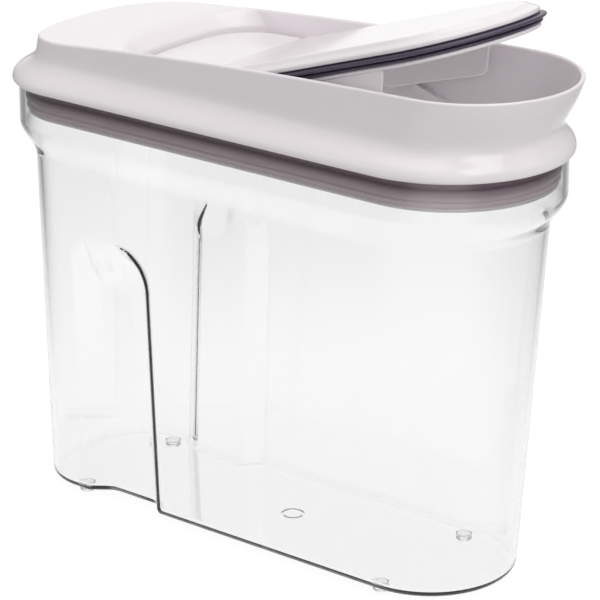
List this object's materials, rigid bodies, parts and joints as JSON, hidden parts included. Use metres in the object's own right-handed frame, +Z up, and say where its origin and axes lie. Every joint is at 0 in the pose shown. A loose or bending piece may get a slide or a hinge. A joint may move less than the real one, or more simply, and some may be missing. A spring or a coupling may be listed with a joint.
{
  "type": "cereal container",
  "caption": "Clear bullet-plan food keeper with a waisted white lid, soft seals and a rocker flap that opens a pouring spout at the rounded end.",
  "frame": {"origin": "on the surface it stands on, below the middle of the overall box", "axes": "+X towards the pouring spout, +Y across, +Z up"},
  "size_m": [0.2612, 0.1002, 0.2422],
  "materials": {
    "clear_plastic": "clear, polished",
    "white_plastic": "glossy",
    "seal_grey": "satin, slightly translucent",
    "seal_slate": "satin"
  },
  "bodies": {
    "container": {"container": "clear_plastic", "foot_front_left": "clear_plastic", "foot_front_right": "clear_plastic", "foot_rear_left": "clear_plastic", "foot_rear_right": "clear_plastic"},
    "lid": {"lid_shell": "white_plastic", "lid_frame": "white_plastic", "lid_seal": "seal_grey"},
    "flap": {"flap_cover": "white_plastic", "flap_seal": "seal_slate", "flap_frame": "white_plastic"}
  },
  "joints": [
    {"name": "lid_lift", "type": "slide", "parent": "container", "child": "lid", "axis": [0, 0, 1], "range_m": [0, 0.06]},
    {"name": "flap_rock", "type": "hinge", "parent": "lid", "child": "flap", "pos_m": [-0.0023, 0, 0.1954], "axis": [0, 1, 0], "range_deg": [0, 20]}
  ]
}
